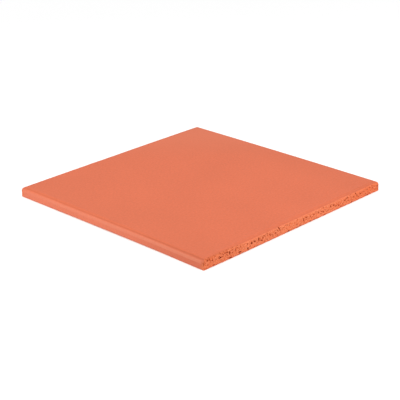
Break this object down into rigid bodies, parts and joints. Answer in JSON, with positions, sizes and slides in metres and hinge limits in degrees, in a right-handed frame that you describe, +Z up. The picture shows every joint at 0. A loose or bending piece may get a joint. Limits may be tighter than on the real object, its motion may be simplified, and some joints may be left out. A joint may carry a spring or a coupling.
{
  "type": "clinker floor tile",
  "caption": "Square unglazed orange-red clinker floor tile with rounded nosing sides, rough cut ends and a groove-keyed back, laid flat in adhesive as floor paving.",
  "frame": {"origin": "middle of the back, on the plane of the rib feet that the tile lies on", "axes": "+Z up out of the wearing face, +Y along the extruded ribbon from cut to cut, +X across it from side to side"},
  "size_m": [0.3, 0.3, 0.0125],
  "materials": {
    "fired_clay": "unglazed matte fired clay, smooth skin on the wearing face and sides, torn and pitted on the cut ends"
  },
  "bodies": {
    "root": {"clinker_tile": "fired_clay"}
  },
  "joints": []
}
